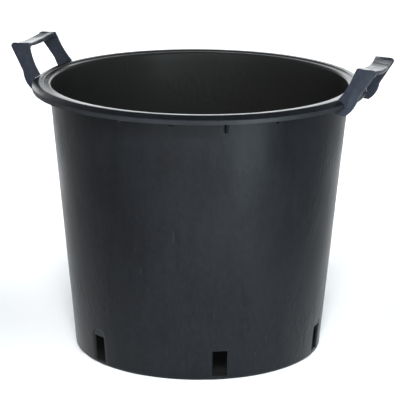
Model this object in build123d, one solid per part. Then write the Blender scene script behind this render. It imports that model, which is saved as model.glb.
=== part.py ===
from build123d import *
import math
import os

# A tapered round bucket with a turned-over rim, drain slots round its foot and two clip-on handles.
# Millimetres, +Z up. The origin is the centre of the underside, and the handles lie on the X axis.

os.makedirs("parts", exist_ok=True)

# ---- Driving dimensions of the tub ----
HEIGHT = 410.0            # floor to the top of the rim
RIM_RADIUS = 250.0        # outside of the rim's skirt
BASE_RADIUS = 187.6       # the wall's outer face carried down to the floor
NECK_RADIUS = 224.5       # the wall's outer face right under the rim
WALL = 2.8
RIM_WALL = 2.6

# ---- Rim section ----
RISER_RADIUS = 234.0      # small step from the ledge up to the top face
LEDGE_DROP = 1.6          # the ledge below the top face, at the step
MOUTH_DROP = 2.1          # the ledge below the top face, at the mouth
TOP_FACE_RADIUS = 241.2   # outer edge of the flat top face
SHOULDER_DROP = 5.4       # where the sloping shoulder meets the skirt
SKIRT_DROP = 12.0         # lower edge of the skirt
SKIRT_FLARE = 0.4         # the skirt is this much wider at its lower edge
MOUTH_ROUND = 4.0
SHOULDER_ROUND = 2.0

# ---- Base ----
FOOT_ROUND = 5.0
FLOOR_RECESS = 3.0        # the floor's underside above the ground
FLOOR_TOP = 6.0
FOOT_RING_RADIUS = 172.0  # inside of the ring that the bucket stands on
FOOT_RING_SLOPE = 3.0
FLOOR_CORNER_ROUND = 6.0

# ---- Drain slots, one of them right below each handle ----
SLOT_COUNT = 6
SLOT_WIDTH = 21.8
SLOT_LOW = 6.4
SLOT_HIGH = 45.5
PAD_WIDTH = 26.0          # shallow arched recess round each slot
PAD_LOW = 3.6
PAD_SHOULDER = 47.0       # where the recess starts to arch over
PAD_HIGH = 56.0
PAD_DEPTH = 1.0
CUT_REACH = 30.0          # how far a cutter runs past the wall, each way

# ---- Gussets under the rim ----
GUSSET_COUNT = 18
GUSSET_EVERY_DEEP = 6     # every sixth gusset is a deep one, in line with a slot
GUSSET_FIRST_DEEP = 3
GUSSET_THICKNESS = 3.0
GUSSET_OUTER_DROP = 11.0  # lower edge of the gusset next to the skirt
GUSSET_SHALLOW_DROP = 22.0
GUSSET_DEEP_DROP = 30.0
GUSSET_FOOT = 3.0         # width of the gusset's lowest edge, out from the wall
GUSSET_KNEE = 8.0         # where its outer edge bends out towards the skirt

# ---- Handles ----
CLIP_GAP = 0.3            # running clearance between a handle and the rim
LEG_SPREAD = 61.0         # half the handle's length at the level of the rim's top
LEG_SPLAY = 12.0          # degrees that each leg leans in towards the other one
LEG_THICKNESS = 4.4
# Corners of a leg's side view: x, and the height above the top of the rim.
LEG_HOOK_TOP = (228.0, -11.0)
LEG_HOOK_TIP = (228.0, -14.0)
LEG_HOOK_HEEL = (231.6, -20.0)
LEG_HOOK_SOLE = (238.5, -22.0)
LEG_TOP_INNER = (256.4, 48.2)
LEG_TOP_MIDDLE = (273.0, 46.4)
LEG_TOP_OUTER = (290.5, 47.6)
LEG_INNER_BEND = (244.3, 16.0)
LEG_INNER_ROOT = (232.6, -0.5)
LEG_OUTER_KNEE = (262.8, 4.0)
LEG_OUTER_BEND = (256.2, -12.2)
LEG_OUTER_FOOT = (245.5, -22.6)
LEG_CORNER_ROUND = 4.0
LEG_RIDGE_HEIGHT = 1.0    # small ridge on each leg, level with the skirt's lower edge
LEG_RIDGE_DEPTH = 0.8

GRIP_OUTER = (288.8, 39.4)    # top edges of the grip at its middle
GRIP_INNER = (261.0, 42.4)
GRIP_HOLLOW = 1.2             # the top face is dished by this much across the grip
GRIP_BOW = 4.4                # the middle stands out from the ends by this much
GRIP_SAG = 4.4                # and lies this much lower
GRIP_HALF_CHORD = 49.0
GRIP_HEIGHT = 6.4
GRIP_LEAN = 0.45              # its outer face leans in by this much of its height
GRIP_SKIN = 2.6
GRIP_EDGE_ROUND = 2.0
GRIP_RIB_OFFSETS = (-27.0, -9.0, 9.0, 27.0)
GRIP_RIB_THICKNESS = 2.2
GRIP_RIB_CUT = 60.0           # a block this long and this high keeps each rib out of the pocket
GRIP_HAUNCH_START = 37.0         # from here to the legs the grip's walls are deeper
GRIP_HAUNCH_HEIGHT = 9.6
GRIP_TURN = 17.0              # half the angle that the grip is turned through before trimming


def wall_radius(z):
    """Outer radius of the tapered wall at a height above the floor."""
    neck_height = HEIGHT - SKIRT_DROP
    return BASE_RADIUS + (NECK_RADIUS - BASE_RADIUS) * z / neck_height


WALL_LEAN = math.degrees(math.atan((NECK_RADIUS - BASE_RADIUS) / (HEIGHT - SKIRT_DROP)))


def radial_face(points, rounds=()):
    """A closed outline of (radius, height) points on the XZ plane, with some of its corners rounded."""
    face = make_face(Polyline(*points, close=True))
    for point, radius in rounds:
        nearest = min(face.vertices(), key=lambda v: math.dist((v.X, v.Y), point))
        face = fillet(nearest, radius)
    return Plane.XZ * face


def around_axis(face):
    return revolve(face, Axis.Z, 360)


# ---- Tub ----
def tub_shell():
    """Base, wall and rim, turned from one outline."""
    foot = (wall_radius(0.0), 0.0)
    neck = (wall_radius(HEIGHT - MOUTH_DROP - RIM_WALL), HEIGHT - MOUTH_DROP - RIM_WALL)
    skirt_inner_top = (RIM_RADIUS - RIM_WALL, HEIGHT - SHOULDER_DROP - RIM_WALL / 2)
    skirt_inner = (RIM_RADIUS + SKIRT_FLARE - RIM_WALL, HEIGHT - SKIRT_DROP)
    skirt_outer = (RIM_RADIUS + SKIRT_FLARE, HEIGHT - SKIRT_DROP)
    shoulder_low = (RIM_RADIUS, HEIGHT - SHOULDER_DROP)
    shoulder_high = (TOP_FACE_RADIUS, HEIGHT)
    mouth_inside = (wall_radius(HEIGHT) - WALL, HEIGHT - MOUTH_DROP)
    floor_corner = (wall_radius(FLOOR_TOP) - WALL, FLOOR_TOP)
    outline = [
        (0.0, FLOOR_RECESS),
        (FOOT_RING_RADIUS - FOOT_RING_SLOPE, FLOOR_RECESS),
        (FOOT_RING_RADIUS, 0.0),
        foot,
        neck,
        (RISER_RADIUS, HEIGHT - LEDGE_DROP - RIM_WALL),
        (TOP_FACE_RADIUS, HEIGHT - RIM_WALL),
        skirt_inner_top,
        skirt_inner,
        skirt_outer,
        shoulder_low,
        shoulder_high,
        (RISER_RADIUS, HEIGHT),
        (RISER_RADIUS - LEDGE_DROP / 2, HEIGHT - LEDGE_DROP),
        mouth_inside,
        floor_corner,
        (0.0, FLOOR_TOP),
    ]
    rounds = [
        (foot, FOOT_ROUND),
        (neck, FOOT_ROUND),
        (shoulder_low, SHOULDER_ROUND),
        (shoulder_high, SHOULDER_ROUND),
        (floor_corner, FLOOR_CORNER_ROUND),
        (mouth_inside, MOUTH_ROUND),
    ]
    return around_axis(radial_face(outline, rounds))


def slot_cutter():
    """A straight slot through the wall and its arched recess, at the +X side."""
    slot = Pos(BASE_RADIUS, 0, (SLOT_LOW + SLOT_HIGH) / 2) * Box(
        2 * CUT_REACH, SLOT_WIDTH, SLOT_HIGH - SLOT_LOW
    )
    half = PAD_WIDTH / 2
    arch = make_face(
        Polyline((-half, PAD_SHOULDER), (-half, PAD_LOW), (half, PAD_LOW), (half, PAD_SHOULDER))
        + ThreePointArc((half, PAD_SHOULDER), (0, PAD_HIGH), (-half, PAD_SHOULDER))
    )
    recess_face = Plane(
        origin=(wall_radius(0.0) - PAD_DEPTH, 0, 0),
        x_dir=(0, 1, 0),
        z_dir=(math.cos(math.radians(WALL_LEAN)), 0, -math.sin(math.radians(WALL_LEAN))),
    )
    return slot + extrude(recess_face * arch, CUT_REACH)


def gusset(deep):
    """One upright rib between the wall and the rim's skirt, on the XZ plane at the +X side."""
    top = HEIGHT - RIM_WALL / 2
    neck = HEIGHT - MOUTH_DROP - RIM_WALL
    low = HEIGHT - (GUSSET_DEEP_DROP if deep else GUSSET_SHALLOW_DROP)
    reach = RIM_RADIUS - RIM_WALL / 2
    outline = [
        (wall_radius(neck) - WALL / 2, neck),
        (wall_radius(low) - WALL / 2, low),
        (wall_radius(low) + GUSSET_FOOT, low),
        (wall_radius(low) + GUSSET_KNEE, HEIGHT - SKIRT_DROP),
        (reach, HEIGHT - GUSSET_OUTER_DROP),
        (reach, HEIGHT - SHOULDER_DROP - RIM_WALL / 2),
        (TOP_FACE_RADIUS, top),
        (RISER_RADIUS, top - LEDGE_DROP),
    ]
    return extrude(radial_face(outline), GUSSET_THICKNESS / 2, both=True)


def make_tub():
    tub = tub_shell()
    for index in range(GUSSET_COUNT):
        deep = index % GUSSET_EVERY_DEEP == GUSSET_FIRST_DEEP
        tub += Rot(0, 0, index * 360 / GUSSET_COUNT) * gusset(deep)
    for index in range(SLOT_COUNT):
        tub -= Rot(0, 0, index * 360 / SLOT_COUNT) * slot_cutter()
    return tub


# ---- Handles ----
def rim_clearance():
    """The rim's outside, grown by the clip gap, as one solid of revolution."""
    gap = CLIP_GAP
    outline = [
        (0.0, HEIGHT - SKIRT_DROP - gap),
        (RIM_RADIUS + SKIRT_FLARE + gap, HEIGHT - SKIRT_DROP - gap),
        (RIM_RADIUS + gap, HEIGHT - SHOULDER_DROP + gap),
        (TOP_FACE_RADIUS + gap, HEIGHT + gap),
        (0.0, HEIGHT + gap),
    ]
    return around_axis(radial_face(outline))


def leg_outline():
    """The side view of one leg, with its hook under the skirt, as (x, height above the rim)."""
    edges = Polyline(
        LEG_OUTER_FOOT,
        LEG_HOOK_SOLE,
        LEG_HOOK_HEEL,
        LEG_HOOK_TIP,
        LEG_HOOK_TOP,
        LEG_INNER_ROOT,
    )
    edges += ThreePointArc(LEG_INNER_ROOT, LEG_INNER_BEND, LEG_TOP_INNER)
    edges += ThreePointArc(LEG_TOP_INNER, LEG_TOP_MIDDLE, LEG_TOP_OUTER)
    edges += Line(LEG_TOP_OUTER, LEG_OUTER_KNEE)
    edges += ThreePointArc(LEG_OUTER_KNEE, LEG_OUTER_BEND, LEG_OUTER_FOOT)
    face = make_face(edges)
    for corner in (LEG_TOP_INNER, LEG_TOP_OUTER):
        nearest = min(face.vertices(), key=lambda v: math.dist((v.X, v.Y), corner))
        face = fillet(nearest, LEG_CORNER_ROUND)
    return face


def leg(side):
    """One leg plate, on the +Y side for side = 1 and on the -Y side for side = -1."""
    splay = math.radians(LEG_SPLAY)
    outer_plane = Plane(
        origin=(0, side * LEG_SPREAD, HEIGHT),
        x_dir=(1, 0, 0),
        z_dir=(0, -math.cos(splay), -side * math.sin(splay)),
    )
    inward = side * LEG_THICKNESS
    plate = extrude(outer_plane * leg_outline(), inward)
    ridge_middle = (LEG_OUTER_FOOT[0] + LEG_OUTER_BEND[0]) / 2
    ridge = outer_plane * Pos(ridge_middle, -SKIRT_DROP, 0) * Box(
        LEG_OUTER_BEND[0] - LEG_OUTER_FOOT[0], LEG_RIDGE_HEIGHT, 2 * LEG_RIDGE_DEPTH
    )
    return plate + ridge


def grip_bar(outline, rounds=()):
    """Turns a section at the grip's middle about the axis that gives the grip its bow and its sag."""
    bulge = math.hypot(GRIP_BOW, GRIP_SAG)
    radius = (GRIP_HALF_CHORD**2 + bulge**2) / (2 * bulge)
    out = (GRIP_BOW / bulge, -GRIP_SAG / bulge)
    middle = (GRIP_OUTER[0], HEIGHT + GRIP_OUTER[1])
    axis = Axis(
        origin=(middle[0] - radius * out[0], 0, middle[1] - radius * out[1]),
        direction=(-out[1], 0, out[0]),
    )
    face = radial_face(outline, rounds)
    half_turn = revolve(face, axis, GRIP_TURN)
    other_half = revolve(face, axis, -GRIP_TURN)
    return half_turn + other_half


def grip_section(inset, drop, depth):
    """The grip's section: its top edges moved in by inset and down by drop, and its depth."""
    outer = (GRIP_OUTER[0] - inset, HEIGHT + GRIP_OUTER[1] - drop)
    inner = (GRIP_INNER[0] + inset, HEIGHT + GRIP_INNER[1] - drop)
    dish = ((outer[0] + inner[0]) / 2, (outer[1] + inner[1]) / 2 - GRIP_HOLLOW)
    inner_low = (inner[0], inner[1] - depth)
    outer_low = (outer[0] - GRIP_LEAN * depth, outer[1] - depth)
    return [outer, dish, inner, inner_low, outer_low]


def between_legs():
    """Everything between the outer faces of the two legs."""
    tall = 2 * LEG_SPREAD
    slope = math.tan(math.radians(LEG_SPLAY))
    low = (LEG_SPREAD + tall * slope, HEIGHT - tall)
    high = (LEG_SPREAD - tall * slope, HEIGHT + tall)
    side_view = make_face(Polyline(low, high, (-high[0], high[1]), (-low[0], low[1]), close=True))
    return extrude(Plane.YZ * side_view, 2 * GRIP_OUTER[0])


def make_handle():
    """The handle on the +X side."""
    section = grip_section(0.0, 0.0, GRIP_HEIGHT)
    bar = grip_bar(section, [(section[0], GRIP_EDGE_ROUND), (section[2], GRIP_EDGE_ROUND)])
    # Haunches: a deeper section that starts below the rounded top edges and is cut away at mid-grip.
    deep_section = grip_section(GRIP_EDGE_ROUND / 2, GRIP_EDGE_ROUND, GRIP_HAUNCH_HEIGHT - GRIP_EDGE_ROUND)
    mid_grip = Pos(GRIP_OUTER[0], 0, HEIGHT) * Box(GRIP_OUTER[0], 2 * GRIP_HAUNCH_START, HEIGHT)
    bar += grip_bar(deep_section) - mid_grip
    pocket = grip_bar(grip_section(GRIP_SKIN, GRIP_SKIN, GRIP_HAUNCH_HEIGHT))
    rib_block = Box(GRIP_RIB_CUT, GRIP_RIB_THICKNESS, GRIP_RIB_CUT)
    for offset in GRIP_RIB_OFFSETS:
        pocket -= Pos(GRIP_OUTER[0], offset, HEIGHT + GRIP_OUTER[1]) * rib_block
    handle = (bar - pocket) & between_legs()
    for side in (-1, 1):
        handle += leg(side)
    return handle - rim_clearance()


tub = make_tub()
handle_right = make_handle()
handle_left = Rot(0, 0, 180) * handle_right

for name, solid in (("tub", tub), ("handle_right", handle_right), ("handle_left", handle_left)):
    export_step(solid, "parts/" + name + ".step")
    print(name, "solids", len(solid.solids()), "volume", round(solid.volume), "valid", solid.is_valid)
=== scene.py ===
import math

import bmesh
import bpy
from mathutils import Matrix, Vector, noise


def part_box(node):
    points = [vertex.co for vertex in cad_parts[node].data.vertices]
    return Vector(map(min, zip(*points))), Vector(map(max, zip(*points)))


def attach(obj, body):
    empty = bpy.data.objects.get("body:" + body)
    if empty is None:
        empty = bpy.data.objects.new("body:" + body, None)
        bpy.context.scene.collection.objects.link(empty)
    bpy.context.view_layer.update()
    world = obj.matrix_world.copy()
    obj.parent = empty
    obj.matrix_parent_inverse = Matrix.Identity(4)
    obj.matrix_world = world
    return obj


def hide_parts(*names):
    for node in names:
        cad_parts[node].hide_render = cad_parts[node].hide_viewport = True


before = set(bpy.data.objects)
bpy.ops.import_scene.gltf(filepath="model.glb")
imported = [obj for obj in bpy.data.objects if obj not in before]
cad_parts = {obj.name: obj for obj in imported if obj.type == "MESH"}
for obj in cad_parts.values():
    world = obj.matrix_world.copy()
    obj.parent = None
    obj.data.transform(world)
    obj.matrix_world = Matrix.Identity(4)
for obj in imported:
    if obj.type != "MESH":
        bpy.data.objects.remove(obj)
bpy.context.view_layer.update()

MM = 0.001

# ---- Sizes taken from the frame ----
TUB_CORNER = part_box("tub")[1]      # the highest corner of the tub's box
HEIGHT = TUB_CORNER.z
SKIRT_RADIUS = TUB_CORNER.x

# ---- Tub: the moulding's own dimensions ----
BASE_RADIUS = 187.6 * MM
NECK_RADIUS = 224.5 * MM
WALL = 2.8 * MM
RIM_WALL = 2.6 * MM
SKIRT_DROP = 12.0 * MM
SKIRT_FLARE = 0.4 * MM
SHOULDER_DROP = 5.4 * MM
TOP_FACE_RADIUS = 241.2 * MM
RISER_RADIUS = 234.0 * MM
LEDGE_DROP = 1.6 * MM
RIM_LEAN = 0.25 * MM          # the rim's top face sinks a little towards the mouth
MOUTH_DROP = 2.1 * MM
FOOT_RING_RADIUS = 172.0 * MM
FOOT_STEP = 3.0 * MM          # width of the slope from the foot ring up to the recessed underside
FLOOR_RECESS = 3.0 * MM
FLOOR_TOP = 6.0 * MM
GATE_RADIUS = 5.0 * MM        # round mark left by the mould's inlet, under the floor
GATE_HEIGHT = 0.8 * MM

FOOT_ROUND = 0.8 * MM         # rounding radii of the section's corners
BASE_ROUND = 5.0 * MM
NECK_ROUND = 5.0 * MM
UNDER_RISER_ROUND = 0.8 * MM
UNDER_FACE_ROUND = 1.0 * MM
UNDER_SHOULDER_ROUND = 2.0 * MM
SKIRT_EDGE_ROUND = 0.7 * MM
SHOULDER_ROUND = 2.2 * MM
RISER_ROUND = 0.6 * MM
LEDGE_ROUND = 0.4 * MM
MOUTH_ROUND = 4.0 * MM
FLOOR_ROUND = 0.4 * MM
MIDDLE_WALL = 0.1             # heights on the wall that only give the outline its direction there
LOW_WALL = 0.03

SLOT_COUNT = 6
SLOT_WIDTH = 21.8 * MM
SLOT_LOW = 6.4 * MM
SLOT_HIGH = 45.5 * MM
SLOT_EDGE = 0.6 * MM          # rounding of the slots' edges
SLOT_MIDDLE = 2.0 * MM        # roughly how much further out the wall is at the slots than at the base
PAD_WIDTH = 26.0 * MM
PAD_LOW = 3.6 * MM
PAD_SHOULDER = 47.0 * MM
PAD_HIGH = 56.0 * MM
PAD_DEPTH = 0.8 * MM
PAD_BLEND = 0.8 * MM

ARC_STEP = 0.8 * MM           # mesh size: longest steps along the section's arcs, wall and floor
WALL_STEP = 13.0 * MM
FLOOR_STEP = 30.0 * MM
SLOT_ROWS = 9                 # and how many rows each feature has, and columns on each side of its middle
ARCH_ROWS = 12
SLOT_COLUMNS = 8
PAD_COLUMNS = 5
PLAIN_COLUMNS = 17
EDGE_LINE = 0.45              # where the middle line of a slot's rounded edge lies
ON_FACE = 0.01 * MM           # a point this near to a face lies on it

GUSSET_COUNT = 18
GUSSET_EVERY_DEEP = 6
GUSSET_FIRST_DEEP = 3
GUSSET_THICKNESS = 5.2 * MM
GUSSET_NOSE = 0.15            # width of the front edge, as a share of the rib's foot on the wall
GUSSET_DRAFT = 0.7            # how much wider the rib is at its top than at its foot
GUSSET_OUTER_DROP = 11.0 * MM
GUSSET_SHALLOW_DROP = 22.0 * MM
GUSSET_DEEP_DROP = 30.0 * MM
GUSSET_FOOT = 3.0 * MM
GUSSET_KNEE = 8.0 * MM
GUSSET_FOOT_ROUND = 1.2 * MM
GUSSET_KNEE_ROUND = 4.0 * MM
GUSSET_ARC_STEP = 1.0 * MM

WALL_WAVER = 0.30 * MM        # how far the thin wall strays from a true cone
RIM_WAVER = 0.12 * MM
WAVER_BROAD = 2.2             # how many swells go round, and how fast they change with height
WAVER_BROAD_RISE = 5.0
WAVER_FINE = 6.0
WAVER_FINE_RISE = 9.0
WAVER_FINE_SHARE = 0.35
WAVER_BROAD_PLACE = (3.1, 7.7)    # where in the noise each pattern is read
WAVER_FINE_PLACE = (1.3, 0.4)
WAVER_START = 0.06            # the wall strays fully above this height, and less again near the rim
WAVER_END = 0.05
WAVER_STOP = 0.01
SHARP_EDGE = math.radians(38.0)    # edges with a steeper bend are shaded sharp


# ---- Small helpers ----
def smooth_step(value, low, high):
    """0 below low, 1 above high and a smooth rise between them."""
    share = min(max((value - low) / (high - low), 0.0), 1.0)
    return share * share * (3.0 - 2.0 * share)


def new_object(name, mesh):
    piece = bpy.data.objects.new(name, mesh)
    bpy.context.scene.collection.objects.link(piece)
    return piece


def wall_radius(z):
    """Outer radius of the tapered wall at a height above the ground."""
    return BASE_RADIUS + (NECK_RADIUS - BASE_RADIUS) * z / (HEIGHT - SKIRT_DROP)


def rounded_outline(corners, arc_step):
    """Points along an open outline of (r, z, rounding radius), with an arc at each rounded corner."""
    points = []
    for index, (r, z, radius) in enumerate(corners):
        here = Vector((r, z))
        if radius == 0.0:
            points.append(here)
            continue
        before = (Vector(corners[index - 1][:2]) - here).normalized()
        after = (Vector(corners[index + 1][:2]) - here).normalized()
        half = before.angle(after) / 2
        centre = here + (before + after).normalized() * (radius / math.sin(half))
        start = (here + before * (radius / math.tan(half)) - centre).normalized()
        end = (here + after * (radius / math.tan(half)) - centre).normalized()
        steps = max(2, round(start.angle(end) * radius / arc_step))
        for step in range(steps + 1):
            points.append(centre + start.slerp(end, step / steps) * radius)
    return points


def with_rows(points, longest):
    """The same outline with extra points, so that no run is longer than the given length."""
    rows = [points[0]]
    for end in points[1:]:
        start = rows[-1]
        count = max(1, math.ceil((end - start).length / longest))
        rows += [start.lerp(end, step / count) for step in range(1, count + 1)]
    return rows


# ---- Tub ----
def tub_outline():
    """Half section of the tub in four runs: up the outside, over the rim, down the inside and the floor."""
    skirt = SKIRT_RADIUS
    top = HEIGHT
    neck = top - MOUTH_DROP - RIM_WALL
    outside = rounded_outline([
        (0.0, FLOOR_RECESS - GATE_HEIGHT, 0.0),
        (GATE_RADIUS, FLOOR_RECESS - GATE_HEIGHT, 0.0),
        (GATE_RADIUS + GATE_HEIGHT, FLOOR_RECESS, 0.0),
        (FOOT_RING_RADIUS - FOOT_STEP, FLOOR_RECESS, 0.0),
        (FOOT_RING_RADIUS, 0.0, FOOT_ROUND),
        (wall_radius(0.0), 0.0, BASE_ROUND),
        (wall_radius(SLOT_LOW), SLOT_LOW, 0.0),
    ], ARC_STEP)
    slot_edge = [SLOT_EDGE, EDGE_LINE * SLOT_EDGE, 0.0]
    slot_rows = [SLOT_LOW - edge for edge in slot_edge]
    slot_rows += [SLOT_LOW + (SLOT_HIGH - SLOT_LOW) * step / SLOT_ROWS for step in range(1, SLOT_ROWS)]
    slot_rows += [SLOT_HIGH + edge for edge in reversed(slot_edge)]
    outside = outside[:-1] + [Vector((wall_radius(z), z)) for z in slot_rows]
    arch_rows = [SLOT_HIGH + SLOT_EDGE + (PAD_HIGH + PAD_BLEND - SLOT_HIGH) * step / ARCH_ROWS
                 for step in range(1, ARCH_ROWS + 1)]
    outside += [Vector((wall_radius(z), z)) for z in arch_rows]
    rim = rounded_outline([
        (wall_radius(MIDDLE_WALL), MIDDLE_WALL, 0.0),
        (wall_radius(neck), neck, NECK_ROUND),
        (RISER_RADIUS, top - LEDGE_DROP - RIM_WALL, UNDER_RISER_ROUND),
        (TOP_FACE_RADIUS, top - RIM_WALL, UNDER_FACE_ROUND),
        (skirt - SKIRT_FLARE - RIM_WALL, top - SHOULDER_DROP - RIM_WALL / 2, UNDER_SHOULDER_ROUND),
        (skirt - RIM_WALL, top - SKIRT_DROP, SKIRT_EDGE_ROUND),
        (skirt, top - SKIRT_DROP, SKIRT_EDGE_ROUND),
        (skirt - SKIRT_FLARE, top - SHOULDER_DROP, SHOULDER_ROUND),
        (TOP_FACE_RADIUS, top, SHOULDER_ROUND),
        (RISER_RADIUS, top - RIM_LEAN, RISER_ROUND),
        (RISER_RADIUS - LEDGE_DROP / 2, top - LEDGE_DROP, LEDGE_ROUND),
        (wall_radius(top) - WALL, top - MOUTH_DROP, MOUTH_ROUND),
        (wall_radius(MIDDLE_WALL) - WALL, MIDDLE_WALL, 0.0),
    ], ARC_STEP)[1:-1]
    inside = [Vector((wall_radius(z) - WALL, z)) for z in reversed(slot_rows) if z > FLOOR_TOP]
    floor = rounded_outline([
        (wall_radius(LOW_WALL) - WALL, LOW_WALL, 0.0),
        (wall_radius(FLOOR_TOP) - WALL, FLOOR_TOP, FLOOR_ROUND),
        (0.0, FLOOR_TOP, 0.0),
    ], ARC_STEP)[1:]
    return outside, rim, inside, floor


def slot_columns():
    """Angles round the tub, closer together at each slot, and half the angle that a slot takes up."""
    reach = BASE_RADIUS + SLOT_MIDDLE
    half_slot = math.asin(SLOT_WIDTH / 2 / reach)
    half_pad = math.asin((PAD_WIDTH / 2 + PAD_BLEND) / reach)
    edge = SLOT_EDGE / reach
    half_sector = math.pi / SLOT_COUNT
    side = [half_slot * step / SLOT_COLUMNS for step in range(1, SLOT_COLUMNS)]
    side += [half_slot, half_slot + EDGE_LINE * edge, half_slot + edge]
    pad_start = half_slot + edge
    side += [pad_start + (half_pad - pad_start) * step / PAD_COLUMNS for step in range(1, PAD_COLUMNS + 1)]
    side += [half_pad + (half_sector - half_pad) * step / PLAIN_COLUMNS for step in range(1, PLAIN_COLUMNS)]
    sector = [-angle for angle in reversed(side)] + [0.0] + side + [half_sector]
    turns = [index * 2 * math.pi / SLOT_COUNT for index in range(SLOT_COUNT)]
    return [turn + angle for turn in turns for angle in sector], half_slot


def pad_depth(angle, z):
    """Depth of the shallow arched recess round a slot."""
    across = abs(math.remainder(angle, 2 * math.pi / SLOT_COUNT)) * wall_radius(z)
    half = PAD_WIDTH / 2
    arch = PAD_SHOULDER + (PAD_HIGH - PAD_SHOULDER) * math.sqrt(max(0.0, 1 - (across / half) ** 2))
    side = 1 - smooth_step(across, half - PAD_BLEND, half + PAD_BLEND)
    top = 1 - smooth_step(z, arch - PAD_BLEND, arch + PAD_BLEND)
    return PAD_DEPTH * side * top * smooth_step(z, PAD_LOW - PAD_BLEND, PAD_LOW + PAD_BLEND)


def slot_rounding(angle, z, half_slot):
    """How far the wall's face is rounded off at the edge of a slot."""
    across = abs(math.remainder(angle, 2 * math.pi / SLOT_COUNT)) - half_slot
    outside = max(across * BASE_RADIUS, SLOT_LOW - z, z - SLOT_HIGH, 0.0)
    share = max(0.0, 1 - outside / SLOT_EDGE)
    return SLOT_EDGE * (1 - math.sqrt(1 - share * share))


def waver(angle, z):
    """The uneven cooling of a thin moulding: a gentle, broad unevenness of the wall."""
    around = Vector((math.cos(angle), math.sin(angle), 0.0))
    broad = noise.noise(around * WAVER_BROAD + Vector((*WAVER_BROAD_PLACE, z * WAVER_BROAD_RISE)))
    fine = noise.noise(around * WAVER_FINE + Vector((*WAVER_FINE_PLACE, z * WAVER_FINE_RISE)))
    return broad + WAVER_FINE_SHARE * fine


def tub_mesh():
    """The whole moulding: rings of points from the section, its skin, its slots and its gussets."""
    outside, rim, inside, floor = tub_outline()
    rows = with_rows(outside + rim[:1], WALL_STEP) + rim[1:-1]
    rows += with_rows(rim[-1:] + inside[:1], WALL_STEP) + inside[1:]
    rows += with_rows(floor, FLOOR_STEP)
    angles, half_slot = slot_columns()
    mould = bmesh.new()
    grid = []
    for r, z in rows:
        if r == 0.0:
            grid.append([mould.verts.new((0.0, 0.0, z))] * len(angles))
            continue
        ring = []
        for angle in angles:
            reach = r
            on_wall = abs(r - wall_radius(z)) < ON_FACE
            in_wall = abs(r - wall_radius(z) + WALL) < ON_FACE
            if on_wall:
                reach -= pad_depth(angle, z) + slot_rounding(angle, z, half_slot)
            if in_wall:
                reach += slot_rounding(angle, z, half_slot)
            if on_wall or in_wall:
                fade = smooth_step(z, 0.0, WAVER_START)
                fade *= 1 - smooth_step(z, HEIGHT - WAVER_END, HEIGHT - WAVER_STOP)
                reach += WALL_WAVER * waver(angle, z) * fade
            lift = RIM_WAVER * (waver(angle, 0.0) - 1) if z > HEIGHT - 2 * SKIRT_DROP else 0.0
            ring.append(mould.verts.new((reach * math.cos(angle), reach * math.sin(angle), z + lift)))
        grid.append(ring)
    build_skin(mould, grid, rows, angles, half_slot)
    for index in range(GUSSET_COUNT):
        add_gusset(mould, index)
    bmesh.ops.recalc_face_normals(mould, faces=mould.faces)
    mesh = bpy.data.meshes.new("tub_moulding")
    mould.to_mesh(mesh)
    mould.free()
    return mesh


def in_slot(angle_a, angle_b, z_a, z_b, half_slot):
    """True where the cell between two columns and two rows of the wall is open."""
    turn = 2 * math.pi / SLOT_COUNT
    middle = abs(math.remainder((angle_a + angle_b) / 2, turn))
    height = (z_a + z_b) / 2
    return middle < half_slot and SLOT_LOW < height < SLOT_HIGH


def build_skin(mould, grid, rows, angles, half_slot):
    """Faces between the rings, left open at the slots, and the slots' four inner sides."""
    count = len(angles)
    for row in range(len(rows) - 1):
        r_a, z_a = rows[row]
        r_b, z_b = rows[row + 1]
        wall = min(r_a, r_b) > BASE_RADIUS - 2 * WALL and max(z_a, z_b) < HEIGHT / 2
        for column in range(count):
            following = (column + 1) % count
            next_angle = angles[following] + (2 * math.pi if following == 0 else 0.0)
            if wall and in_slot(angles[column], next_angle, z_a, z_b, half_slot):
                continue
            below, above = grid[row], grid[row + 1]
            corners = (below[column], below[following], above[following], above[column])
            mould.faces.new(dict.fromkeys(corners))
    open_edges = [edge for edge in mould.edges if edge.is_boundary]
    join_slot_sides(mould, open_edges)


def join_slot_sides(mould, open_edges):
    """Bridges the outer and the inner border of each slot."""
    for index in range(SLOT_COUNT):
        turn = index * 2 * math.pi / SLOT_COUNT
        near = []
        for edge in open_edges:
            middle = (edge.verts[0].co + edge.verts[1].co) / 2
            away = math.remainder(math.atan2(middle.y, middle.x) - turn, 2 * math.pi)
            if abs(away) < math.pi / SLOT_COUNT:
                near.append(edge)
        bmesh.ops.bridge_loops(mould, edges=near)


def gusset_outline(deep):
    """Side view of a gusset: its foot on the wall, and its front edge sloping out to the skirt."""
    low = HEIGHT - (GUSSET_DEEP_DROP if deep else GUSSET_SHALLOW_DROP)
    top = HEIGHT - RIM_WALL / 2
    neck = HEIGHT - MOUTH_DROP - RIM_WALL
    reach = SKIRT_RADIUS - SKIRT_FLARE - RIM_WALL / 2
    return rounded_outline([
        (wall_radius(neck) - WALL / 2, neck, 0.0),
        (wall_radius(low) - WALL / 2, low, 0.0),
        (wall_radius(low) + GUSSET_FOOT, low, GUSSET_FOOT_ROUND),
        (wall_radius(low) + GUSSET_KNEE, HEIGHT - SKIRT_DROP, GUSSET_KNEE_ROUND),
        (reach, HEIGHT - GUSSET_OUTER_DROP, 0.0),
        (reach, HEIGHT - SHOULDER_DROP - RIM_WALL / 2, 0.0),
        (TOP_FACE_RADIUS, top, 0.0),
        (RISER_RADIUS, top - LEDGE_DROP, 0.0),
    ], GUSSET_ARC_STEP)


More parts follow.
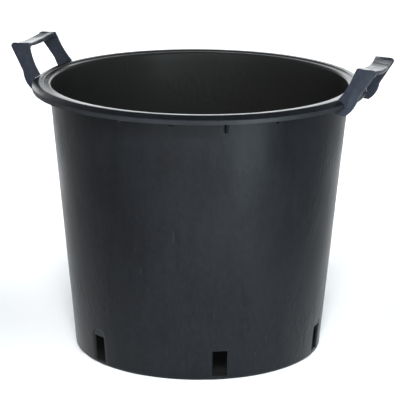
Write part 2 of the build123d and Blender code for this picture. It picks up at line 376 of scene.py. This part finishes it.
def add_gusset(mould, index):
    """One upright rib between the wall and the rim's skirt, broad on the wall and narrow in front."""
    outline = gusset_outline(index % GUSSET_EVERY_DEEP == GUSSET_FIRST_DEEP)
    low = min(point.y for point in outline)
    under_mouth = HEIGHT - MOUTH_DROP - RIM_WALL / 2
    turn = Matrix.Rotation(index * 2 * math.pi / GUSSET_COUNT, 3, "Z")
    rings = []
    for side, depth_share in ((-1.0, 0.0), (-GUSSET_NOSE, 1.0), (GUSSET_NOSE, 1.0), (1.0, 0.0)):
        ring = []
        for point in outline:
            wall = wall_radius(point.y)
            depth = max(point.x - wall, 0.0) * depth_share
            half = GUSSET_THICKNESS / 2 * (1.0 + GUSSET_DRAFT * (point.y - low) / (HEIGHT - low))
            z = point.y if depth_share > 0.0 else min(point.y, under_mouth)
            ring.append(mould.verts.new(turn @ Vector((min(point.x, wall) + depth, side * half, z))))
        rings.append(ring)
    count = len(outline)
    for before, after in zip(rings, rings[1:]):
        for step in range(count):
            following = (step + 1) % count
            mould.faces.new((before[step], before[following], after[following], after[step]))
    mould.faces.new(rings[0])
    mould.faces.new(reversed(rings[-1]))


# ---- Handles ----
HANDLE_GRAIN = 0.7 * MM       # cell size of the even skin over each handle
LEG_LOW = -16.0 * MM          # heights above the rim between which a leg's outer face is shaped
LEG_HIGH = 44.0 * MM
LEG_LOW_FADE = (4.0 * MM, 8.0 * MM)    # the shaping starts this far below LEG_LOW and is full above it
LEG_HIGH_FADE = 10.0 * MM     # and it fades out again over this height below LEG_HIGH
LEG_LOW_INNER = 235.0 * MM    # the leg's two edges at those heights
LEG_LOW_OUTER = 254.0 * MM
LEG_HIGH_INNER = 254.5 * MM
LEG_HIGH_OUTER = 288.0 * MM
LEG_MIDDLE_INNER = 244.0 * MM
CREASE_SHARE = 0.40           # where the crease runs, from the inner edge to the outer one
CREASE_DROP = 1.5 * MM        # how far the face falls away from the crease to the inner edge
CHEEK_DROP = 0.6 * MM         # and to the outer edge
LEG_CORNERS = ((256.4 * MM, 48.2 * MM), (288.0 * MM, 47.6 * MM))    # the legs' top corners, above the rim
LEG_INSIDE = 41.0 * MM        # how far from the handle's middle the corners' rounding starts
CORNER_CORE = 4.0 * MM
CORNER_REACH = 10.0 * MM
CORNER_PASSES = 120
SKIN_PASSES = 8
PASS_SHARE = 0.5
WELD = 0.01 * MM              # points of the CAD mesh nearer than this are one
SIDEWAYS = (0.35, 0.8)        # how squarely a face looks sideways before it counts as a leg's outer face


def leg_share(x, height):
    """How far a point of a leg lies across it: 0 on the edge towards the tub, 1 on the other edge."""
    up = (height - LEG_LOW) / (LEG_HIGH - LEG_LOW)
    bow = 4.0 * up * (1.0 - up) * (LEG_MIDDLE_INNER - (LEG_LOW_INNER + LEG_HIGH_INNER) / 2)
    inner = LEG_LOW_INNER + (LEG_HIGH_INNER - LEG_LOW_INNER) * up + bow
    outer = LEG_LOW_OUTER + (LEG_HIGH_OUTER - LEG_LOW_OUTER) * up
    return (x - inner) / (outer - inner)


def shape_legs(mesh):
    """Gives each leg's outer face its long crease, with a broad bevel on the side towards the tub."""
    moves = []
    for vertex in mesh.vertices:
        x, y, z = vertex.co
        height = z - HEIGHT
        outward = math.copysign(1.0, y)
        facing = smooth_step(vertex.normal.y * outward, *SIDEWAYS)
        ends = smooth_step(height, LEG_LOW - LEG_LOW_FADE[0], LEG_LOW + LEG_LOW_FADE[1])
        ends *= 1 - smooth_step(height, LEG_HIGH - LEG_HIGH_FADE, LEG_HIGH)
        share = leg_share(abs(x), height)
        inner_side = max(0.0, (CREASE_SHARE - share) / CREASE_SHARE)
        outer_side = max(0.0, (share - CREASE_SHARE) / (1 - CREASE_SHARE))
        drop = CREASE_DROP * min(inner_side, 1.0) + CHEEK_DROP * min(outer_side, 1.0) ** 2
        moves.append(-outward * drop * facing * ends)
    for vertex, move in zip(mesh.vertices, moves):
        vertex.co.y += move


def with_modifiers(mesh, name, add_modifiers):
    """A new mesh: the given one with the modifiers that the function adds to its object."""
    rough = new_object(name, mesh)
    add_modifiers(rough)
    graph = bpy.context.evaluated_depsgraph_get()
    result = bpy.data.meshes.new_from_object(rough.evaluated_get(graph))
    bpy.data.objects.remove(rough)
    return result


def skin_modifiers(rough):
    """One even skin over the solid, with every edge a little softened."""
    remesh = rough.modifiers.new("skin", "REMESH")
    remesh.mode = "VOXEL"
    remesh.voxel_size = HANDLE_GRAIN
    soften = rough.modifiers.new("soften", "SMOOTH")
    soften.factor = PASS_SHARE
    soften.iterations = SKIN_PASSES


def corner_modifiers(rough):
    """Rounder corners where the legs meet the grip."""
    corners = rough.vertex_groups.new(name="corners")
    for vertex in rough.data.vertices:
        x, y, z = vertex.co
        place = Vector((abs(x), z - HEIGHT))
        near = min((place - Vector(corner)).length for corner in LEG_CORNERS)
        weight = 1 - smooth_step(near, CORNER_CORE, CORNER_REACH)
        weight *= smooth_step(abs(y), LEG_INSIDE, LEG_INSIDE + CORNER_CORE)
        if weight > 0.0:
            corners.add([vertex.index], weight, "REPLACE")
    soften = rough.modifiers.new("corners", "SMOOTH")
    soften.vertex_group = "corners"
    soften.factor = PASS_SHARE
    soften.iterations = CORNER_PASSES


def handle_mesh(node):
    """A copy of the CAD handle's mesh with its legs shaped and every edge softened, as a moulding has it."""
    solid = bmesh.new()
    solid.from_mesh(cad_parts[node].data)
    bmesh.ops.remove_doubles(solid, verts=solid.verts, dist=WELD)
    mesh = bpy.data.meshes.new(node + "_solid")
    solid.to_mesh(mesh)
    solid.free()
    mesh = with_modifiers(mesh, node + "_skin", skin_modifiers)
    mesh = with_modifiers(mesh, node + "_corners", corner_modifiers)
    shape_legs(mesh)
    return mesh


# ---- Materials: noise scales are per metre, and strengths are shares ----
CLOUD_SCALE = 11.0
FLOW_SCALE = 55.0
FLOW_STRETCH = (1.0, 1.0, 0.09)        # long upright lines
MOTTLE_SCALE = 170.0
MOTTLE_STRETCH = (1.0, 1.0, 0.6)
PATCH_RANGE = (0.40, 0.62)             # the part of a noise that makes the edge of a patch
RIPPLE_STRETCH = (1.0, 1.0, 0.7)
RIPPLE_TWIST = 1.2
SCRATCH_SCALE = 330.0
SCRATCH_STRETCH = (1.0, 1.0, 0.06)
SCRATCH_RANGE = (0.62, 0.80)           # only the peaks of the noise are scratches
SCRATCH_SHARE = 0.5
GRAIN_SCALE = 900.0
CLOUD_SHARE = 0.30                     # what each noise adds to the colour's tone
FLOW_SHARE = 0.25
MOTTLE_SHARE = 0.45
TONE_RANGE = (0.36, 0.64)
# share by which the skirt's face is lightened towards the worn colour: a painted sheen standing in for the
# floor's reflection
SKIRT_SHEEN_SHARE = 0.5
SHINE_RANGE = (0.25, 0.75)
SMOOTHEST = -0.03                      # how far the roughness strays from its middle
ROUGHEST = 0.05
SCRATCH_ROUGHNESS = 0.15
FLOW_BUMP = (0.12, 0.6 * MM)           # strength and depth
RIPPLE_BUMP = 0.30
GRAIN_BUMP = (0.22, 0.15 * MM)
SKIRT_SHEEN_EDGE = (1.6 * MM, 0.9 * MM)      # where the painted sheen on the skirt's face starts and is full, this far inside the skirt's radius
SKIRT_SHEEN_TOP = (1.5 * MM, 0.5 * MM)       # and how far below and above the shoulder's edge the painted sheen fades out
PAPER_SCALE = 0.8                      # the floor
PAPER_DARK = (0.93, 0.93, 0.93)
PAPER_LIGHT = (0.95, 0.95, 0.95)
PAPER_ROUGHNESS = 0.9
PAPER_GLOSS = 0.1
MIX_COLOURS = slice(6, 8)              # the Mix node's two colour inputs and its colour output
MIX_RESULT = 2


def new_material(name):
    """An empty node material with a Principled shader: (material, nodes, links, shader)."""
    material = bpy.data.materials.new(name)
    material.use_nodes = True
    tree = material.node_tree
    return material, tree.nodes, tree.links, tree.nodes["Principled BSDF"]


def stretched(nodes, links, source, scale):
    """The object's own coordinates, stretched by a different amount along each axis."""
    mapping = nodes.new("ShaderNodeMapping")
    mapping.inputs["Scale"].default_value = scale
    links.new(source, mapping.inputs["Vector"])
    return mapping.outputs["Vector"]


def noise_value(nodes, links, source, scale, detail, rough=0.5, distortion=0.0):
    """A smooth noise from 0 to 1."""
    texture = nodes.new("ShaderNodeTexNoise")
    texture.inputs["Scale"].default_value = scale
    texture.inputs["Detail"].default_value = detail
    texture.inputs["Roughness"].default_value = rough
    texture.inputs["Distortion"].default_value = distortion
    links.new(source, texture.inputs["Vector"])
    return texture.outputs["Fac"]


def spread(nodes, links, value, low, high, to_low, to_high):
    """A value between low and high turned smoothly into one between to_low and to_high."""
    ranged = nodes.new("ShaderNodeMapRange")
    ranged.interpolation_type = "SMOOTHSTEP"
    ranged.inputs["From Min"].default_value = low
    ranged.inputs["From Max"].default_value = high
    ranged.inputs["To Min"].default_value = to_low
    ranged.inputs["To Max"].default_value = to_high
    links.new(value, ranged.inputs["Value"])
    return ranged.outputs["Result"]


def combine(nodes, links, operation, first, second):
    """Two values put together; either may be a plain number."""
    node = nodes.new("ShaderNodeMath")
    node.operation = operation
    for socket, value in zip(node.inputs, (first, second)):
        if isinstance(value, (int, float)):
            socket.default_value = value
        else:
            links.new(value, socket)
    return node.outputs["Value"]


def blend_colour(nodes, links, share, first, second):
    """first where share is 0 and second where it is 1; each is a colour or a socket."""
    mix = nodes.new("ShaderNodeMix")
    mix.data_type = "RGBA"
    links.new(share, mix.inputs["Factor"])
    for socket, colour in zip(mix.inputs[MIX_COLOURS], (first, second)):
        if isinstance(colour, tuple):
            socket.default_value = (*colour, 1.0)
        else:
            links.new(colour, socket)
    return mix.outputs[MIX_RESULT]


def bumped(nodes, links, shader, layers):
    """Chains (height, strength, distance) layers of bump into the shader's normal."""
    before = None
    for height, strength, distance in layers:
        bump = nodes.new("ShaderNodeBump")
        bump.inputs["Strength"].default_value = strength
        bump.inputs["Distance"].default_value = distance
        links.new(height, bump.inputs["Height"])
        if before is not None:
            links.new(before, bump.inputs["Normal"])
        before = bump.outputs["Normal"]
    links.new(before, shader.inputs["Normal"])


def moulded_plastic(name, dark, light, worn_and_sheen, roughness, gloss, ripple, inside=None):
    """Satin black plastic: cloudy colour, vertical flow lines, ripples, scratches and a moulded grain.

    ripple holds the ripples' scale, their depth and the scale of the patches that they lie in. With an
    inside colour, the plastic is the tub's, whose inner side has that colour and whose skirt's face gets a
    painted sheen towards the worn colour, patchy like scuffing.
    """
    material, nodes, links, shader = new_material(name)
    place = nodes.new("ShaderNodeTexCoord").outputs["Object"]
    ripple_scale, ripple_depth, patch_scale = ripple
    clouds = noise_value(nodes, links, place, CLOUD_SCALE, detail=3.0)
    flow_place = stretched(nodes, links, place, FLOW_STRETCH)
    flow = noise_value(nodes, links, flow_place, FLOW_SCALE, detail=3.0, rough=0.55, distortion=0.3)
    mottle_place = stretched(nodes, links, place, MOTTLE_STRETCH)
    mottle = noise_value(nodes, links, mottle_place, MOTTLE_SCALE, detail=3.0, rough=0.6)
    patches = noise_value(nodes, links, place, patch_scale, detail=2.0)
    patches = spread(nodes, links, patches, *PATCH_RANGE, 0.0, 1.0)
    ripple_place = stretched(nodes, links, place, RIPPLE_STRETCH)
    ripples = noise_value(nodes, links, ripple_place, ripple_scale, detail=2.0, distortion=RIPPLE_TWIST)
    scratch_place = stretched(nodes, links, place, SCRATCH_STRETCH)
    peaks = noise_value(nodes, links, scratch_place, SCRATCH_SCALE, detail=3.0, rough=0.6, distortion=0.4)
    scratches = spread(nodes, links, peaks, *SCRATCH_RANGE, 0.0, SCRATCH_SHARE)
    grain = noise_value(nodes, links, place, GRAIN_SCALE, detail=2.0, rough=0.6)

    tone = combine(nodes, links, "ADD", combine(nodes, links, "MULTIPLY", clouds, CLOUD_SHARE),
                   combine(nodes, links, "MULTIPLY", flow, FLOW_SHARE))
    tone = combine(nodes, links, "ADD", tone, combine(nodes, links, "MULTIPLY", mottle, MOTTLE_SHARE))
    colour = blend_colour(nodes, links, spread(nodes, links, tone, *TONE_RANGE, 0.0, 1.0), dark, light)
    if inside is not None:
        colour = blend_colour(nodes, links, inner_side(nodes, links, place), colour, inside)
        # painted sheen: the skirt's face is lightened towards the worn colour, patchy through the clouds
        # noise, standing in for its reflection of the floor
        skirt_sheen = combine(nodes, links, "MULTIPLY", skirt_sheen_mask(nodes, links, place), clouds)
        skirt_sheen = combine(nodes, links, "MULTIPLY", skirt_sheen, SKIRT_SHEEN_SHARE)
        colour = blend_colour(nodes, links, skirt_sheen, colour, worn_and_sheen)
    colour = blend_colour(nodes, links, combine(nodes, links, "MULTIPLY", scratches, patches), colour, worn_and_sheen)
    links.new(colour, shader.inputs["Base Color"])

    shine = spread(nodes, links, clouds, *SHINE_RANGE, roughness + SMOOTHEST, roughness + ROUGHEST)
    rough_scratches = combine(nodes, links, "MULTIPLY", scratches, SCRATCH_ROUGHNESS)
    links.new(combine(nodes, links, "ADD", shine, rough_scratches), shader.inputs["Roughness"])
    shader.inputs["Specular IOR Level"].default_value = gloss
    rippled = combine(nodes, links, "MULTIPLY", ripples, patches)
    bumped(nodes, links, shader, [
        (flow, *FLOW_BUMP),
        (rippled, RIPPLE_BUMP, ripple_depth),
        (grain, *GRAIN_BUMP),
    ])
    return material


def radius_and_parts(nodes, links, place):
    """A point's distance from the tub's axis, and the node that gives its x, y and z."""
    parts = nodes.new("ShaderNodeSeparateXYZ")
    links.new(place, parts.inputs["Vector"])
    across = combine(nodes, links, "MULTIPLY", parts.outputs["X"], parts.outputs["X"])
    along = combine(nodes, links, "MULTIPLY", parts.outputs["Y"], parts.outputs["Y"])
    return combine(nodes, links, "SQRT", combine(nodes, links, "ADD", across, along), 0.0), parts


def skirt_sheen_mask(nodes, links, place):
    """1 on the outer face of the rim's skirt, which gets a painted sheen, and 0 elsewhere."""
    radius, parts = radius_and_parts(nodes, links, place)
    start, full = SKIRT_SHEEN_EDGE
    outward = spread(nodes, links, radius, SKIRT_RADIUS - start, SKIRT_RADIUS - full, 0.0, 1.0)
    shoulder = HEIGHT - SHOULDER_DROP
    under, over = SKIRT_SHEEN_TOP
    below = spread(nodes, links, parts.outputs["Z"], shoulder - under, shoulder + over, 1.0, 0.0)
    return combine(nodes, links, "MULTIPLY", outward, below)


def inner_side(nodes, links, place):
    """1 on the inner side of the tub's wall and floor, 0 on its outer side."""
    radius, parts = radius_and_parts(nodes, links, place)
    slope = (NECK_RADIUS - BASE_RADIUS) / (HEIGHT - SKIRT_DROP)
    wall = combine(nodes, links, "MULTIPLY", parts.outputs["Z"], slope)
    gap = combine(nodes, links, "SUBTRACT", radius, wall)
    middle = BASE_RADIUS - WALL / 2
    inward = spread(nodes, links, gap, middle - WALL / 4, middle + WALL / 4, 1.0, 0.0)
    below = spread(nodes, links, parts.outputs["Z"], FLOOR_RECESS + WALL / 4, FLOOR_TOP - WALL / 4, 0.0, 1.0)
    return combine(nodes, links, "MULTIPLY", inward, below)


def paper_floor():
    """Matt white paper with a faint unevenness."""
    material, nodes, links, shader = new_material("studio_floor")
    place = nodes.new("ShaderNodeTexCoord").outputs["Object"]
    tone = noise_value(nodes, links, place, PAPER_SCALE, detail=2.0)
    links.new(blend_colour(nodes, links, tone, PAPER_DARK, PAPER_LIGHT), shader.inputs["Base Color"])
    shader.inputs["Roughness"].default_value = PAPER_ROUGHNESS
    shader.inputs["Specular IOR Level"].default_value = PAPER_GLOSS
    return material


def add_piece(name, mesh, material, node, body):
    """A visible piece that stands for a CAD node and rides on its body."""
    mesh.materials.clear()
    mesh.materials.append(material)
    mesh.polygons.foreach_set("use_smooth", [True] * len(mesh.polygons))
    piece = new_object(name, mesh)
    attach(piece, body)
    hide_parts(node)


TUB_PLASTIC = moulded_plastic(
    "tub_plastic",
    dark=(0.0026, 0.0032, 0.0045),
    light=(0.0066, 0.0075, 0.0093),
    # lighter colour of the scratches, also used for the painted sheen on the skirt's face
    worn_and_sheen=(0.045, 0.048, 0.052),
    roughness=0.33,
    gloss=0.165,
    ripple=(60.0, 2.5 * MM, 8.0),
    inside=(0.0135, 0.0138, 0.0128),
)
HANDLE_PLASTIC = moulded_plastic(
    "handle_plastic",
    dark=(0.0140, 0.0180, 0.0270),
    light=(0.0250, 0.0300, 0.0410),
    worn_and_sheen=(0.06, 0.065, 0.075),
    roughness=0.32,
    gloss=0.18,
    ripple=(90.0, 5.0 * MM, 28.0),
)

mesh = tub_mesh()
mesh.set_sharp_from_angle(angle=SHARP_EDGE)
add_piece("tub_moulding", mesh, TUB_PLASTIC, "tub", "tub")
for side in ("right", "left"):
    node = "handle_" + side
    add_piece(node + "_moulding", handle_mesh(node), HANDLE_PLASTIC, node, node)


# ---- Floor and light ----
FLOOR_REACH = 8.0
BACK_TOP = math.radians(16.0)      # how high the lit studio walls reach, seen from the tub
FRONT_TOP = math.radians(42.0)
SIDE_TOP = math.radians(30.0)
WALL_FADE = math.radians(9.0)
BACK_SPAN = (0.72, 0.93)           # how far ahead a direction points where each wall starts and is full
FRONT_SPAN = (-0.6, -0.9)
SIDE_SPAN = (0.45, 0.8)            # the side walls are full up to the first and gone at the second
SKY_COLOUR = (0.95, 0.98, 1.0)
LAMP_COLOUR = (0.94, 0.97, 1.0)
STRIP_COLOUR = (0.78, 0.94, 1.0)
STRIP_TURN = 34.0                  # degrees from the camera to the light whose streak the wall shows


def make_floor():
    """One large white plane at the height of the tub's foot."""
    reach = FLOOR_REACH
    mesh = bpy.data.meshes.new("studio_floor")
    corners = [(-reach, -reach, 0.0), (reach, -reach, 0.0), (reach, reach, 0.0), (-reach, reach, 0.0)]
    mesh.from_pydata(corners, [], [(0, 1, 2, 3)])
    mesh.materials.append(paper_floor())
    new_object("studio_floor", mesh)


def around(turn, distance, height):
    """A place round the tub: turn degrees from straight in front, at a distance from its axis."""
    angle = math.radians(turn)
    return Vector((math.sin(angle) * distance, -math.cos(angle) * distance, height))


def make_softbox(name, place, aim, size, radiance, beam=180.0, mirrored=False, colour=LAMP_COLOUR):
    """A soft rectangular light that the camera doesn't see, with a beam narrowed to so many degrees."""
    light = bpy.data.lights.new(name, "AREA")
    light.shape = "RECTANGLE"
    light.size, light.size_y = size
    light.energy = math.pi * size[0] * size[1] * radiance
    light.spread = math.radians(beam)
    light.color = colour
    lamp = bpy.data.objects.new(name, light)
    lamp.location = place
    lamp.rotation_euler = (aim - place).to_track_quat("-Z", "Y").to_euler()
    lamp.visible_camera = False
    lamp.visible_glossy = mirrored
    bpy.context.scene.collection.objects.link(lamp)
    return lamp


def make_world(ahead, above, behind, beside):
    """A dark studio with a low lit wall behind the tub and weaker ones in front and on both sides."""
    world = bpy.data.worlds.new("studio")
    world.use_nodes = True
    nodes, links = world.node_tree.nodes, world.node_tree.links
    direction = nodes.new("ShaderNodeTexCoord").outputs["Generated"]
    parts = nodes.new("ShaderNodeSeparateXYZ")
    links.new(direction, parts.inputs["Vector"])
    depth = nodes.new("ShaderNodeVectorMath")
    depth.operation = "DOT_PRODUCT"
    depth.inputs[1].default_value = around(VIEW + 180.0, 1.0, 0.0)
    links.new(direction, depth.inputs[0])
    rise = parts.outputs["Z"]
    walls = above
    for level, span, top in ((behind, BACK_SPAN, BACK_TOP), (ahead, FRONT_SPAN, FRONT_TOP)):
        facing = spread(nodes, links, depth.outputs["Value"], *span, 0.0, level - above)
        low = spread(nodes, links, rise, math.sin(top), math.sin(top + WALL_FADE), 1.0, 0.0)
        walls = combine(nodes, links, "ADD", walls, combine(nodes, links, "MULTIPLY", facing, low))
    sideways = combine(nodes, links, "ABSOLUTE", depth.outputs["Value"], 0.0)
    aside = spread(nodes, links, sideways, *SIDE_SPAN, beside - above, 0.0)
    low = spread(nodes, links, rise, math.sin(SIDE_TOP), math.sin(SIDE_TOP + 2 * WALL_FADE), 1.0, 0.0)
    walls = combine(nodes, links, "ADD", walls, combine(nodes, links, "MULTIPLY", aside, low))
    background = nodes["Background"]
    background.inputs["Color"].default_value = (*SKY_COLOUR, 1.0)
    links.new(walls, background.inputs["Strength"])
    bpy.context.scene.world = world


# ---- Camera, fitted to the photograph's view ----
VIEW = 20.1                        # degrees that the camera stands round from straight in front
VIEW_TURN = math.radians(VIEW)
VIEW_RISE = math.radians(15.3)
VIEW_ROLL = math.radians(0.40)
VIEW_DISTANCE = 3.047
VIEW_LENS = 180.05                 # focal length and sensor width in millimetres
SENSOR_WIDTH = 36.0
AIM_ACROSS = 2.1 * MM
AIM_HEIGHT = 222.7 * MM


def make_camera():
    """The camera, at the photograph's viewing angle and framing."""
    back = Vector((
        math.sin(VIEW_TURN) * math.cos(VIEW_RISE),
        -math.cos(VIEW_TURN) * math.cos(VIEW_RISE),
        math.sin(VIEW_RISE),
    ))
    level = Vector((math.cos(VIEW_TURN), math.sin(VIEW_TURN), 0.0))
    upright = level.cross(-back)
    right = level * math.cos(VIEW_ROLL) + upright * math.sin(VIEW_ROLL)
    up = upright * math.cos(VIEW_ROLL) - level * math.sin(VIEW_ROLL)
    place = level * AIM_ACROSS + Vector((0.0, 0.0, AIM_HEIGHT)) + back * VIEW_DISTANCE
    lens = bpy.data.cameras.new("camera")
    lens.sensor_width = SENSOR_WIDTH
    lens.lens = VIEW_LENS
    camera = bpy.data.objects.new("camera", lens)
    camera.matrix_world = Matrix.Translation(place) @ Matrix((right, up, back)).transposed().to_4x4()
    bpy.context.scene.collection.objects.link(camera)
    bpy.context.scene.camera = camera


make_floor()
make_world(ahead=2.1, above=0.22, behind=4.2, beside=0.75)
far_place = around(VIEW + 180.0, distance=2.0, height=2.2)
straight_down = far_place - Vector((0.0, 0.0, 1.0))
far = make_softbox("far_light", far_place, straight_down, size=(1.6, 3.0), radiance=1.4, beam=25.0)
far.rotation_euler = (0.0, 0.0, VIEW_TURN)     # still straight down, its long side along the view
make_softbox(
    "front_light",
    around(VIEW, distance=2.6, height=2.0),
    around(VIEW, distance=0.30, height=0.0),
    size=(0.8, 1.2), radiance=1.45, beam=22.0,
)
make_softbox(
    "fore_light",
    around(VIEW, distance=1.5, height=1.5),
    around(VIEW, distance=1.35, height=0.0),
    size=(1.9, 1.0), radiance=1.8, beam=50.0,
)
make_softbox(
    "strip_light",
    around(VIEW + STRIP_TURN, distance=0.85, height=0.34),
    around(VIEW + STRIP_TURN, distance=0.0, height=0.31),
    size=(0.38, 0.58), radiance=5.2, mirrored=True, colour=STRIP_COLOUR,
)
make_camera()
bpy.context.scene.view_settings.view_transform = "Standard"
